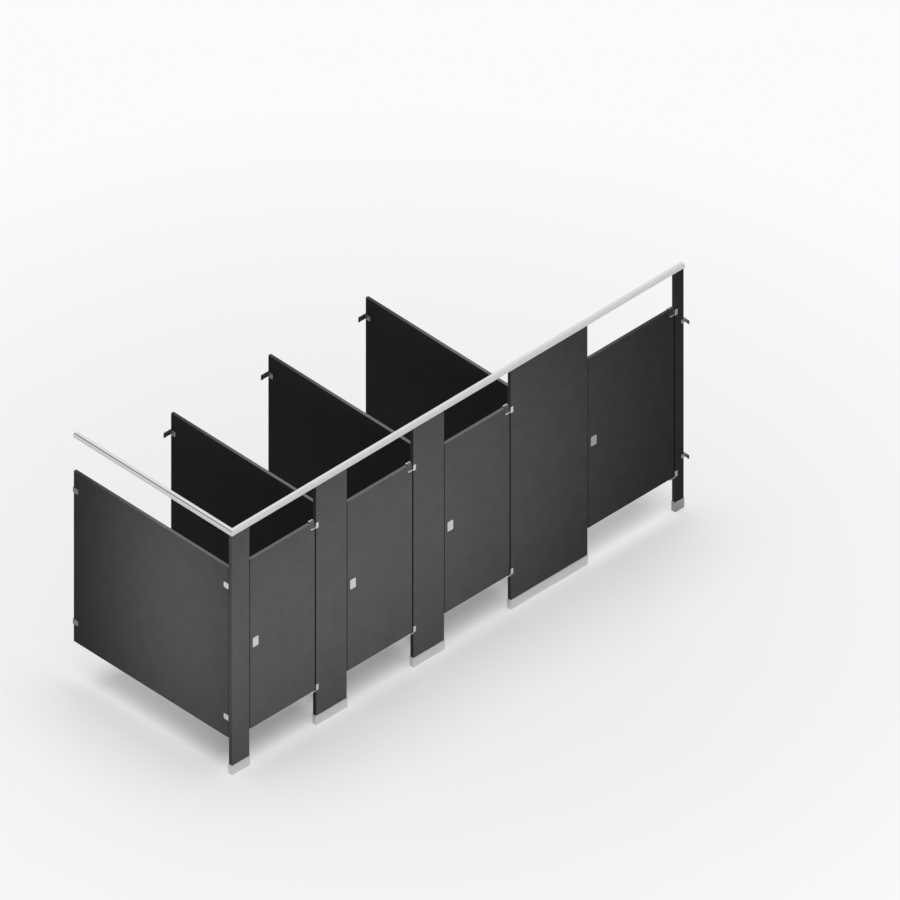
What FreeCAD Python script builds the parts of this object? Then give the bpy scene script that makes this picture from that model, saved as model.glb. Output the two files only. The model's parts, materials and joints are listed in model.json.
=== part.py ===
import FreeCAD, Part
import math
import os
from collections import namedtuple

Vector = FreeCAD.Vector
RIGHT = Vector(1, 0, 0)
BACK = Vector(0, 1, 0)
UP = Vector(0, 0, 1)

# How near a point has to be to a face to count as lying on it
SLACK = 1e-3

# A row of toilet compartments in a room corner: three standard stalls and a wide accessible one.
# X runs along the front from the open left end to the side wall, Y from the front to the back wall,
# Z up from the floor. All sizes are in millimetres.

# Boards
pilaster_thickness = 31.75
board_thickness = 25.4
edge_ease = 1.0

# Front run, from left to right
corner_pilaster_width = 168.0
stall_pilaster_width = 296.0
accessible_pilaster_width = 740.0
wall_pilaster_width = 83.5
stall_door_width = 624.5
accessible_door_width = 826.0
latch_gap = 9.5
hinge_gap = 9.0
side_wall_gap = 12.0

# Heights
door_clearance = 305.0
door_height = 1473.0
headrail_underside = 2081.0
pilaster_floor_gap = 45.0

# Side panels
panel_height = 1484.0
panel_length = 1531.75
panel_front_gap = 4.25
panel_wall_gap = 4.25
divider_setback = 127.0

# Headrail: a channel over the pilaster tops, with a raised ridge that gives no grip
rail_wall = 2.0
rail_fit = 0.4
rail_height = 34.5
rail_face_height = 32.0
rail_cavity_height = 26.5
rail_shelf_width = 5.0
rail_groove_width = 4.5
rail_groove_depth = 3.0
rail_edge_radius = 1.2
rail_wall_gap = 2.0
rail_top_gap = 4.0
rail_insert_thickness = 3.0
rail_insert_fit = 0.4
corner_plate_reach = 110.0
socket_reach = 62.0
socket_lift = 1.0
socket_hole_radius = 2.5
socket_hole_spacing = 16.0

# Shoes, floor bars and levelling gear
shoe_height = 83.0
shoe_wall = 1.2
shoe_proud = 4.4
shoe_fit = 0.3
shoe_corner_radius = 6.0
floor_bar_width = 25.0
floor_bar_thickness = 5.0
floor_bar_inset = 10.0
anchor_hole_radius = 5.0
anchor_end_distance = 12.0
stud_radius = 5.0
stud_anchor_distance = 26.0
stud_bore_depth = 60.0
stud_bore_spare = 10.0
stud_clearance = 0.25
nut_across_flats = 17.0
nut_height = 9.0
nut_sides = 6

# Stirrup brackets: a base plate with two ears that clasp a board
ear_thickness = 4.0
base_thickness = 4.0
ear_corner_radius = 8.0
front_bracket_ear = 47.0
front_bracket_height = 47.0
front_bracket_flange = 44.0
wall_bracket_ear = 52.0
wall_bracket_height = 44.0
wall_bracket_flange = 64.0
pilaster_bracket_ear = 38.0
pilaster_bracket_height = 32.0
pilaster_bracket_flange = 40.0
panel_lower_inset = 175.0
panel_upper_inset = 163.0
pilaster_lower_inset = 147.0
pilaster_upper_inset = 163.0
wall_hole_radius = 3.5
wall_hole_distance = 38.4
wall_hole_spread = 24.0
pilaster_hole_distance = 20.0

# Barrel bolts that clamp the ears to their board
bolt_shank_radius = 3.0
bolt_head_radius = 7.5
bolt_crown_radius = 5.5
bolt_head_height = 3.0
bolt_hole_clearance = 0.25

# Hinges: a bracket that wraps the pilaster edge, with a boss and an upright pin under the door
hinge_flange_width = 20.0
hinge_flange_height = 50.0
hinge_flange_thickness = 4.0
hinge_flange_corner = 5.0
lower_flange_lift = 13.0
hinge_wrap_thickness = 3.0
hinge_wrap_radius = 2.5
hinge_arm_thickness = 8.0
hinge_arm_width = 24.0
hinge_boss_radius = 13.0
hinge_boss_height = 9.0
pin_inset = 25.0
pin_radius = 6.0
pin_standing = 32.0
running_clearance = 0.05
thrust_gap = 0.2
bushing_radius = 9.9
bushing_length = 34.0
bushing_flange_radius = 12.5
bushing_flange_thickness = 2.8
seat_clearance = 0.1
notch_height = 66.0
notch_floor_gap = 3.0
notch_side_gap = 8.0
block_rise = 10.0
block_end_radius = 9.0
block_bevel = 2.0
tenon_length = 30.0
tenon_height = 36.0
tenon_thickness = 9.0
tenon_drop = 6.0
tenon_clearance = 0.3

# Latches: a plate outside the door, a case inside it and a bolt that slides in the case
latch_plate_width = 54.0
latch_plate_height = 82.0
latch_plate_thickness = 3.0
latch_plate_inset = 25.0
latch_plate_corner = 8.0
latch_plate_bevel = 1.2
post_radius = 5.0
post_spread = 54.0
post_offset = 20.0
post_clearance = 0.3
case_length = 78.0
case_height = 72.0
case_cover = 4.2
case_end_wall = 4.0
case_bevel = 4.0
inward_case_overhang = 18.5
outward_case_setback = 12.0
overhang_gap = 0.35
bolt_height = 14.0
bolt_thickness = 8.0
bolt_length = 50.0
bolt_nose_radius = 3.5
bolt_travel = 22.0
bolt_stand_off = 8.25
bolt_clearance = 0.3
bolt_tip_inset = 1.0
thumb_stem_length = 9.0
thumb_stem_height = 8.0
thumb_stem_offset = 43.0
thumb_length = 20.0
thumb_height = 26.0
thumb_depth = 9.0
thumb_bevel = 2.5
thumb_gap = 2.5

# Keepers, on the pilaster face inside the stall
keeper_width = 36.0
keeper_height = 62.0
keeper_thickness = 3.0
keeper_corner = 5.0
outward_keeper_overlap = 18.5
loop_width = 14.0
loop_wall = 5.0
loop_bevel = 2.0
loop_clearance = 2.0
inward_loop_inset = 12.0
outward_loop_inset = 2.0
bumper_width = 8.0
bumper_height = 40.0
bumper_inset = 1.0
inward_bumper_thickness = 3.3
bumper_door_gap = 0.3

# Coat hooks on the inner face of the doors
hook_plate_width = 38.0
hook_plate_height = 52.0
hook_plate_thickness = 3.0
hook_plate_corner = 6.0
hook_drop = 92.0
hook_bar_width = 14.0
hook_bar_thickness = 6.0
hook_run = 22.0
hook_bend_radius = 14.0
hook_rise = 10.0

# Places that follow from the sizes above
pilaster_widths = [corner_pilaster_width, stall_pilaster_width, stall_pilaster_width,
                   accessible_pilaster_width, wall_pilaster_width]
door_widths = [stall_door_width, stall_door_width, stall_door_width, accessible_door_width]
opens_inward = [True, True, True, False]
pilaster_left = [0.0]
door_left = []
for pilaster_width, door_width in zip(pilaster_widths, door_widths):
    door_left.append(pilaster_left[-1] + pilaster_width + latch_gap)
    pilaster_left.append(door_left[-1] + door_width + hinge_gap)
panel_left = [0.0] + [left + divider_setback for left in pilaster_left[1:4]]
side_wall = pilaster_left[-1] + wall_pilaster_width + side_wall_gap
panel_front = pilaster_thickness + panel_front_gap
panel_back = panel_front + panel_length
back_wall = panel_back + panel_wall_gap
middle_y = pilaster_thickness / 2
door_front = middle_y - board_thickness / 2
door_back = middle_y + board_thickness / 2
door_top = door_clearance + door_height
door_middle = door_clearance + door_height / 2
rail_cavity_top = headrail_underside + rail_cavity_height
pilaster_top = rail_cavity_top - rail_top_gap
rail_outer = -rail_fit - rail_wall
rail_width = pilaster_thickness + 2 * (rail_fit + rail_wall)
panel_top = door_clearance + panel_height
panel_bracket_heights = [door_clearance + panel_lower_inset, panel_top - panel_upper_inset]
pilaster_bracket_heights = [door_clearance + pilaster_lower_inset, panel_top - pilaster_upper_inset]
bushing_stack = thrust_gap + bushing_flange_thickness
lower_hinge_base = door_clearance - bushing_stack - hinge_boss_height
upper_hinge_base = door_top - notch_height + notch_floor_gap
hinge_bases = [lower_hinge_base, upper_hinge_base]
flange_lifts = [lower_flange_lift, 0.0]
notch_width = pin_inset + hinge_boss_radius + notch_side_gap
pin_reach = hinge_gap + pin_inset
bolt_front = pilaster_thickness + bolt_stand_off
bolt_back = bolt_front + bolt_thickness
case_back = bolt_back + bolt_clearance + case_cover

# A barrel bolt: the seat under its first head, the way its shank points, and the thickness that it clamps
Clamp = namedtuple("Clamp", "seat direction grip")


def box(low, high):
    """Plain block between two corners."""
    return Part.makeBox(high[0] - low[0], high[1] - low[1], high[2] - low[2], Vector(*low))


def edges_along(shape, axis, test=None):
    """Straight edges that run along an axis, and whose middle passes the test."""
    picked = []
    for edge in shape.Edges:
        line = edge.Vertexes[-1].Point - edge.Vertexes[0].Point
        if line.Length > edge.Length / 2 and line.cross(axis).Length < SLACK:
            if test is None or test(edge.CenterOfMass):
                picked.append(edge)
    return picked


def rim(shape, direction):
    """Edges round the flat end that faces a direction."""
    reach = max(vertex.Point.dot(direction) for vertex in shape.Vertexes)
    return [edge for edge in shape.Edges
            if all(vertex.Point.dot(direction) > reach - SLACK for vertex in edge.Vertexes)]


def rounded_box(low, high, axis, radius):
    """Block whose four edges along an axis are round."""
    blank = box(low, high)
    return blank.makeFillet(radius, edges_along(blank, axis))


def board(low, high):
    """Sheet of board with every edge eased."""
    blank = box(low, high)
    return blank.makeChamfer(edge_ease, blank.Edges)


def prism(points, along):
    """Solid swept from a closed outline of straight sides."""
    corners = [Vector(*point) for point in points]
    return Part.Face(Part.makePolygon(corners + corners[:1])).extrude(along)


def arc(start, through, end):
    """Edge of a circle through three points."""
    return Part.Arc(start, through, end).toShape()


def tube(outer, inner, low, high, x, y):
    """Upright tube between two heights."""
    shell = Part.makeCylinder(outer, high - low, Vector(x, y, low))
    return shell.cut(Part.makeCylinder(inner, high - low, Vector(x, y, low)))


def barrel_bolt(clamp):
    """Bolt with a low round head on each side of what it clamps."""
    far_end = clamp.seat + clamp.direction * clamp.grip
    outward = clamp.direction * -1
    shank = Part.makeCylinder(bolt_shank_radius, clamp.grip, clamp.seat, clamp.direction)
    near_head = Part.makeCone(bolt_head_radius, bolt_crown_radius, bolt_head_height, clamp.seat, outward)
    far_head = Part.makeCone(bolt_head_radius, bolt_crown_radius, bolt_head_height, far_end, clamp.direction)
    return shank.fuse([near_head, far_head]).removeSplitter()


def drilled(shape, clamps):
    """Shape with a clearance hole for each bolt that passes through it."""
    for clamp in clamps:
        radius = bolt_shank_radius + bolt_hole_clearance
        hole = Part.makeCylinder(radius, clamp.grip, clamp.seat, clamp.direction)
        if hole.BoundBox.intersect(shape.BoundBox):
            shape = shape.cut(hole)
    return shape


def stirrup(clasped, ear, height, left_flange, right_flange):
    """Bracket on the plane y = 0 whose two ears reach to -Y on both faces of a board."""
    half = clasped / 2
    outer = half + ear_thickness
    outline = [(-outer - left_flange, 0), (-outer - left_flange, -base_thickness), (-outer, -base_thickness),
               (-outer, -ear), (-half, -ear), (-half, -base_thickness), (half, -base_thickness),
               (half, -ear), (outer, -ear), (outer, -base_thickness),
               (outer + right_flange, -base_thickness), (outer + right_flange, 0)]
    bracket = prism([(x, y, -height / 2) for x, y in outline], UP * height)
    ear_ends = edges_along(bracket, RIGHT, lambda middle: middle.y < SLACK - ear)
    return bracket.makeFillet(ear_corner_radius, ear_ends)


def wall_holes(bracket, places):
    """Bracket with open holes through its base for the wall anchors, at the X and Z given."""
    for x, z in places:
        place = Vector(x, -base_thickness, z)
        bracket = bracket.cut(Part.makeCylinder(wall_hole_radius, base_thickness, place, BACK))
    return bracket


def stud_places(index):
    """X of the levelling studs in a pilaster foot: one in a narrow foot, two in a wide one."""
    inset = floor_bar_inset + anchor_end_distance + stud_anchor_distance
    left = pilaster_left[index] + inset
    right = pilaster_left[index] + pilaster_widths[index] - inset
    if right - left < nut_across_flats:
        return [(left + right) / 2]
    return [left, right]


def pilaster_clamps():
    """Bolts through the ears that clasp the last pilaster."""
    grip = pilaster_thickness + 2 * ear_thickness
    on_board = pilaster_bracket_ear - side_wall_gap
    x = side_wall - side_wall_gap - on_board / 2
    return [Clamp(Vector(x, -ear_thickness, height), BACK, grip) for height in pilaster_bracket_heights]


def panel_clamps():
    """Bolts through the ears that clasp the side panels, at the front and at the back wall."""
    grip = board_thickness + 2 * ear_thickness
    front = (panel_front + pilaster_thickness + front_bracket_ear) / 2
    back = (panel_back + back_wall - wall_bracket_ear) / 2
    return [Clamp(Vector(left - ear_thickness, place, height), RIGHT, grip)
            for left in panel_left for height in panel_bracket_heights for place in (front, back)]


def pilaster(index, clamps):
    """Upright board, bored from below for its levelling studs."""
    left = pilaster_left[index]
    low = (left, 0, pilaster_floor_gap)
    high = (left + pilaster_widths[index], pilaster_thickness, pilaster_top)
    upright = board(low, high)
    for x in stud_places(index):
        foot = Vector(x, middle_y, pilaster_floor_gap)
        upright = upright.cut(Part.makeCylinder(stud_radius + stud_clearance, stud_bore_depth, foot))
    return drilled(upright, clamps)


def shoe(index):
    """Folded sheet sleeve round a pilaster foot, turned in at the top to meet the board."""
    left = pilaster_left[index]
    right = left + pilaster_widths[index]
    back = pilaster_thickness
    gap = shoe_proud - shoe_wall
    outside = rounded_box((left - shoe_proud, -shoe_proud, 0),
                          (right + shoe_proud, back + shoe_proud, shoe_height), UP, shoe_corner_radius)
    inside = rounded_box((left - gap, -gap, 0), (right + gap, back + gap, shoe_height - shoe_wall),
                         UP, shoe_corner_radius - shoe_wall)
    mouth = box((left - shoe_fit, -shoe_fit, 0), (right + shoe_fit, back + shoe_fit, shoe_height))
    return outside.cut(inside).cut(mouth)


def floor_bar(index):
    """Flat bar on the floor under a pilaster, with an anchor hole near each end."""
    left = pilaster_left[index] + floor_bar_inset
    right = pilaster_left[index] + pilaster_widths[index] - floor_bar_inset
    half = floor_bar_width / 2
    bar = box((left, middle_y - half, 0), (right, middle_y + half, floor_bar_thickness))
    for x in (left + anchor_end_distance, right - anchor_end_distance):
        bar = bar.cut(Part.makeCylinder(anchor_hole_radius, floor_bar_thickness, Vector(x, middle_y, 0)))
    return bar


def levelling_stud(x):
    """Stud that stands on the floor bar and reaches up into the pilaster."""
    top = pilaster_floor_gap + stud_bore_depth - stud_bore_spare
    return Part.makeCylinder(stud_radius, top - floor_bar_thickness, Vector(x, middle_y, floor_bar_thickness))


def levelling_nut(x):
    """Hexagon nut that carries the pilaster on its stud."""
    corner = nut_across_flats / 2 / math.cos(math.pi / nut_sides)
    base = pilaster_floor_gap - nut_height
    turns = [2 * math.pi * side / nut_sides for side in range(nut_sides)]
    hexagon = [(x + corner * math.cos(turn), middle_y + corner * math.sin(turn), base) for turn in turns]
    bore = Part.makeCylinder(stud_radius + running_clearance, nut_height, Vector(x, middle_y, base))
    return prism(hexagon, UP * nut_height).cut(bore)


def rail_outline():
    """Section of the headrail: u across from its outer face, v up from its underside."""
    ridge = rail_shelf_width + rail_groove_width
    groove = rail_face_height - rail_groove_depth
    cavity = (rail_wall, rail_width - rail_wall)
    return [(0, 0), (0, rail_face_height), (rail_shelf_width, rail_face_height), (rail_shelf_width, groove),
            (ridge, groove), (ridge, rail_height), (rail_width, rail_height), (rail_width, 0),
            (cavity[1], 0), (cavity[1], rail_cavity_height), (cavity[0], rail_cavity_height), (cavity[0], 0)]


def headrail(axis, length):
    """Run of headrail along an axis from the outer corner, with its top edges rounded and its corner mitred."""
    across = BACK if axis == RIGHT else RIGHT
    corner = Vector(rail_outer, rail_outer, headrail_underside)
    section = [corner + across * u + UP * v for u, v in rail_outline()]
    run = prism(section, axis * length)
    ease_above = headrail_underside + rail_face_height - rail_edge_radius
    top_edges = edges_along(run, axis, lambda middle: middle.z > ease_above)
    run = run.makeFillet(rail_edge_radius, top_edges)
    mitre = [corner, corner + across * (2 * rail_width), corner + (RIGHT + BACK) * (2 * rail_width)]
    return run.cut(prism(mitre, UP * rail_height))


def corner_plate():
    """Flat angle inside the headrail that joins the two runs at the mitre."""
    low = -rail_fit + rail_insert_fit
    high = pilaster_thickness + rail_fit - rail_insert_fit
    base = rail_cavity_top - rail_insert_thickness
    outline = [(low, low), (corner_plate_reach, low), (corner_plate_reach, high), (high, high),
               (high, corner_plate_reach), (low, corner_plate_reach)]
    return prism([(x, y, base) for x, y in outline], UP * rail_insert_thickness)


def rail_socket():
    """Bent plate in the end of a headrail run: the wall plate faces +X at x = 0, the tongue reaches to -X."""
    half = pilaster_thickness / 2 + rail_fit - rail_insert_fit
    thick = rail_insert_thickness
    top = rail_cavity_top
    bottom = headrail_underside + socket_lift
    outline = [(0, bottom), (0, top), (-socket_reach, top), (-socket_reach, top - thick), (-thick, top - thick),
               (-thick, bottom)]
    socket = prism([(x, -half, z) for x, z in outline], BACK * (2 * half))
    hole_height = (headrail_underside + top - thick) / 2
    for offset in (-socket_hole_spacing / 2, socket_hole_spacing / 2):
        place = Vector(-thick, offset, hole_height)
        socket = socket.cut(Part.makeCylinder(socket_hole_radius, thick, place, RIGHT))
    return socket


def rail_sockets():
    """Sockets at the side wall and at the back wall."""
    side = rail_socket().translated(Vector(side_wall, middle_y, 0))
    back = rail_socket().rotated(Vector(), UP, 90).translated(Vector(middle_y, back_wall, 0))
    return [side, back]


def panel(index, clamps):
    """Side panel from the pilasters to the back wall."""
    left = panel_left[index]
    low = (left, panel_front, door_clearance)
    high = (left + board_thickness, panel_back, panel_top)
    return drilled(board(low, high), clamps)


def panel_front_brackets(clamps):
    """Stirrups between the panels and the pilaster backs: the end panel has a flange on its inner side only."""
    brackets = []
    flange = front_bracket_flange
    for index, left in enumerate(panel_left):
        outer_flange = flange if index > 0 else 0.0
        shape = stirrup(board_thickness, front_bracket_ear, front_bracket_height, flange, outer_flange)
        shape = shape.rotated(Vector(), UP, 180)
        for height in panel_bracket_heights:
            placed = shape.translated(Vector(left + board_thickness / 2, pilaster_thickness, height))
            brackets.append(drilled(placed, clamps))
    return brackets


def panel_wall_brackets(clamps):
    """Stirrups between the panels and the back wall, with two holes in each flange."""
    brackets = []
    flange = wall_bracket_flange
    hole_x = board_thickness / 2 + ear_thickness + wall_hole_distance
    for index, left in enumerate(panel_left):
        outer_flange = flange if index > 0 else 0.0
        sides = (-hole_x, hole_x) if index > 0 else (hole_x,)
        shape = stirrup(board_thickness, wall_bracket_ear, wall_bracket_height, outer_flange, flange)
        rows = (-wall_hole_spread / 2, wall_hole_spread / 2)
        shape = wall_holes(shape, [(x, z) for x in sides for z in rows])
        for height in panel_bracket_heights:
            placed = shape.translated(Vector(left + board_thickness / 2, back_wall, height))
            brackets.append(drilled(placed, clamps))
    return brackets


def pilaster_wall_brackets(clamps):
    """Stirrups between the last pilaster and the side wall, with one hole in each flange."""
    flange = pilaster_bracket_flange
    hole_x = pilaster_thickness / 2 + ear_thickness + pilaster_hole_distance
    shape = stirrup(pilaster_thickness, pilaster_bracket_ear, pilaster_bracket_height, flange, flange)
    shape = wall_holes(shape, [(-hole_x, 0), (hole_x, 0)]).rotated(Vector(), UP, -90)
    places = [Vector(side_wall, middle_y, height) for height in pilaster_bracket_heights]
    return [drilled(shape.translated(place), clamps) for place in places]


def hinge_bracket(edge, base, lift):
    """Casting that wraps a pilaster edge and carries the hinge pin on a boss at the end of its arm."""
    front = -hinge_flange_thickness
    back = pilaster_thickness + hinge_flange_thickness
    low = base + lift
    top = low + hinge_flange_height
    flange_end = edge + hinge_flange_width
    wrap = box((edge - hinge_wrap_thickness, front, low), (flange_end, back, top))
    wrap = wrap.makeFillet(hinge_wrap_radius, edges_along(wrap, UP, lambda middle: middle.x < edge))
    wrap = wrap.makeFillet(hinge_flange_corner, edges_along(wrap, BACK, lambda middle: middle.x > edge))
    wrap = wrap.cut(box((edge, 0, low), (flange_end, pilaster_thickness, top)))
    web = box((edge - hinge_wrap_thickness, 0, base), (edge, pilaster_thickness, top))
    pin_x = edge - pin_reach
    half = hinge_arm_width / 2
    arm = box((pin_x, middle_y - half, base),
              (edge - hinge_wrap_thickness / 2, middle_y + half, base + hinge_arm_thickness))
    boss = Part.makeCylinder(hinge_boss_radius, hinge_boss_height, Vector(pin_x, middle_y, base))
    bore = Part.makeCylinder(pin_radius, hinge_boss_height, Vector(pin_x, middle_y, base))
    return wrap.fuse([web, arm, boss]).removeSplitter().cut(bore)


def hinge_pin(edge, base):
    """Pin pressed into the boss of a hinge bracket, with an eased top."""
    foot = Vector(edge - pin_reach, middle_y, base)
    pin = Part.makeCylinder(pin_radius, hinge_boss_height + pin_standing, foot)
    return pin.makeChamfer(edge_ease, rim(pin, UP))


def bushing(x, base):
    """Flanged bushing that turns on a hinge pin and rests on the boss below it."""
    flange_base = base + hinge_boss_height + thrust_gap
    sleeve_base = flange_base + bushing_flange_thickness
    bore = pin_radius + running_clearance
    flange = tube(bushing_flange_radius, bore, flange_base, sleeve_base, x, middle_y)
    sleeve = tube(bushing_radius, bore, sleeve_base, sleeve_base + bushing_length, x, middle_y)
    return flange.fuse(sleeve).removeSplitter()


def bushing_seat(x, base):
    """Round hole that a bushing sits in, above its flange."""
    bottom = Vector(x, middle_y, base + hinge_boss_height + bushing_stack)
    return Part.makeCylinder(bushing_radius + seat_clearance, bushing_length + seat_clearance, bottom)


def tenon(x, base, room):
    """Tongue of the hinge block inside the door, or its mortise with room to spare."""
    low = base + hinge_boss_height + bushing_stack + tenon_drop
    half = tenon_thickness / 2 + room
    return box((x - tenon_length - room, middle_y - half, low - room),
               (x, middle_y + half, low + tenon_height + room))


def hinge_block(index):
    """Casting in the notch of the door's top corner: it stands above the door and turns on the upper pin."""
    right = door_left[index] + door_widths[index]
    wall = right - notch_width
    bottom = upper_hinge_base + hinge_boss_height + bushing_stack
    block = box((wall, door_front, bottom), (right, door_back, door_top + block_rise))
    block = block.makeFillet(block_end_radius, edges_along(block, UP, lambda middle: middle.x > wall + SLACK))
    block = block.makeChamfer(block_bevel, rim(block, UP))
    block = block.fuse(tenon(wall, upper_hinge_base, 0.0))
    return block.cut(bushing_seat(right - pin_inset, upper_hinge_base)).removeSplitter()


def bushings(index):
    """Bushings on the lower and the upper pin of a door."""
    x = door_left[index] + door_widths[index] - pin_inset
    return [bushing(x, base) for base in hinge_bases]


def latch_posts(index, radius):
    """Posts through the door from the latch plate to the case, or their holes."""
    x = door_left[index] + latch_plate_inset + post_offset
    heights = (door_middle - post_spread / 2, door_middle + post_spread / 2)
    return [Part.makeCylinder(radius, board_thickness, Vector(x, door_front, z), BACK) for z in heights]


def door(index):
    """Door board, notched at the top for its hinge block and bored for its bushing and latch posts."""
    left = door_left[index]
    right = left + door_widths[index]
    wall = right - notch_width
    leaf = board((left, door_front, door_clearance), (right, door_back, door_top))
    leaf = leaf.cut(box((wall, door_front, door_top - notch_height), (right, door_back, door_top)))
    leaf = leaf.cut(tenon(wall, upper_hinge_base, tenon_clearance))
    leaf = leaf.cut(bushing_seat(right - pin_inset, lower_hinge_base))
    return leaf.cut(latch_posts(index, post_radius + post_clearance))


def latch_plate(index):
    """Outer latch plate with a bevelled rim, held through the door by two posts."""
    left = door_left[index] + latch_plate_inset
    front = door_front - latch_plate_thickness
    half = latch_plate_height / 2
    plate = rounded_box((left, front, door_middle - half),
                        (left + latch_plate_width, door_front, door_middle + half), BACK, latch_plate_corner)
    plate = plate.makeChamfer(latch_plate_bevel, rim(plate, BACK * -1))
    return plate.fuse(latch_posts(index, post_radius)).removeSplitter()


def case_left(index):
    """Left end of a latch case: past the door edge where the door opens inward, so that it stops the door."""
    if opens_inward[index]:
        return door_left[index] - inward_case_overhang
    return door_left[index] + outward_case_setback


def thumb_place(index):
    """X of the middle of the thumb-piece, with the bolt drawn back."""
    return case_left(index) + bolt_tip_inset + thumb_stem_offset


def latch_case(index):
    """Case on the inner face of a door with a channel for the bolt and a window for its thumb-piece."""
    left = case_left(index)
    half = case_height / 2
    case = box((left, door_back, door_middle - half), (left + case_length, case_back, door_middle + half))
    case = case.makeChamfer(case_bevel, rim(case, BACK))
    channel_half = bolt_height / 2 + bolt_clearance
    channel = box((left, bolt_front - bolt_clearance, door_middle - channel_half),
                  (left + case_length - case_end_wall, bolt_back + bolt_clearance, door_middle + channel_half))
    stem_room = thumb_stem_length / 2 + bolt_clearance
    window_half = thumb_stem_height / 2 + bolt_clearance
    window = box((thumb_place(index) - bolt_travel - stem_room, bolt_back, door_middle - window_half),
                 (thumb_place(index) + stem_room, case_back, door_middle + window_half))
    case = case.cut(channel).cut(window)
    if opens_inward[index]:
        stop_face = pilaster_thickness + keeper_thickness + inward_bumper_thickness + overhang_gap
        overhang = box((left, door_back, door_middle - half), (door_left[index], stop_face, door_middle + half))
        case = case.cut(overhang)
    return case


def latch_bolt(index):
    """Sliding bolt with a bevelled thumb-piece, drawn back."""
    tip = case_left(index) + bolt_tip_inset
    half = bolt_height / 2
    bar = box((tip, bolt_front, door_middle - half), (tip + bolt_length, bolt_back, door_middle + half))
    bar = bar.makeFillet(bolt_nose_radius, edges_along(bar, BACK, lambda middle: middle.x < tip + SLACK))
    x = thumb_place(index)
    thumb_front = case_back + thumb_gap
    stem = box((x - thumb_stem_length / 2, bolt_back, door_middle - thumb_stem_height / 2),
               (x + thumb_stem_length / 2, thumb_front, door_middle + thumb_stem_height / 2))
    thumb = box((x - thumb_length / 2, thumb_front, door_middle - thumb_height / 2),
                (x + thumb_length / 2, thumb_front + thumb_depth, door_middle + thumb_height / 2))
    thumb = thumb.makeChamfer(thumb_bevel, rim(thumb, BACK))
    return bar.fuse([stem, thumb]).removeSplitter()


def keeper(index):
    """Plate with a loop for the thrown bolt. On an outward door it reaches past the edge and stops the door."""
    edge = door_left[index] - latch_gap
    inward = opens_inward[index]
    right = edge if inward else edge + outward_keeper_overlap
    inset = inward_loop_inset if inward else outward_loop_inset
    half = keeper_height / 2
    plate_back = pilaster_thickness + keeper_thickness
    plate = rounded_box((edge - keeper_width, pilaster_thickness, door_middle - half),
                        (right, plate_back, door_middle + half), BACK, keeper_corner)
    loop_left = right - inset - loop_width
    loop_right = right - inset
    inner = bolt_height / 2 + loop_clearance
    outer = inner + loop_wall
    span = bolt_back + loop_clearance
    loop = box((loop_left, pilaster_thickness, door_middle - outer),
               (loop_right, span + loop_wall, door_middle + outer))
    loop = loop.makeChamfer(loop_bevel, rim(loop, BACK))
    hollow = box((loop_left, plate_back, door_middle - inner), (loop_right, span, door_middle + inner))
    return plate.fuse(loop).removeSplitter().cut(hollow)


def keeper_bumper(index):
    """Rubber pad on the keeper that the latch case, or the door itself, closes against."""
    edge = door_left[index] - latch_gap
    half = bumper_height / 2
    if opens_inward[index]:
        right = edge - bumper_inset
        front = pilaster_thickness + keeper_thickness
        back = front + inward_bumper_thickness
    else:
        right = edge + outward_keeper_overlap - bumper_inset
        front = door_back + bumper_door_gap
        back = pilaster_thickness
    return box((right - bumper_width, front, door_middle - half), (right, back, door_middle + half))


def coat_hook(index):
    """Hook on a small plate: a flat bar that runs out, bends up and ends round."""
    x = door_left[index] + door_widths[index] / 2
    z = door_top - hook_drop
    face = door_back + hook_plate_thickness
    plate = rounded_box((x - hook_plate_width / 2, door_back, z - hook_plate_height / 2),
                        (x + hook_plate_width / 2, face, z + hook_plate_height / 2), BACK, hook_plate_corner)
    centre = Vector(x - hook_bar_width / 2, face + hook_run, z + hook_bend_radius)
    half = hook_bar_thickness / 2
    outer = hook_bend_radius + half
    inner = hook_bend_radius - half
    root = BACK * -(hook_run + hook_plate_thickness / 2)
    slant = (BACK - UP) * math.sqrt(0.5)
    tip = UP * hook_rise
    crown = centre + BACK * hook_bend_radius + tip + UP * half
    under = centre - UP * outer
    over = centre - UP * inner
    front = centre + BACK * inner
    rear = centre + BACK * outer
    outline = Part.Wire([Part.makeLine(under + root, under), arc(under, centre + slant * outer, rear),
                         Part.makeLine(rear, rear + tip), arc(rear + tip, crown, front + tip),
                         Part.makeLine(front + tip, front), arc(front, centre + slant * inner, over),
                         Part.makeLine(over, over + root), Part.makeLine(over + root, under + root)])
    bar = Part.Face(outline).extrude(RIGHT * hook_bar_width)
    return plate.fuse(bar).removeSplitter()


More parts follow.
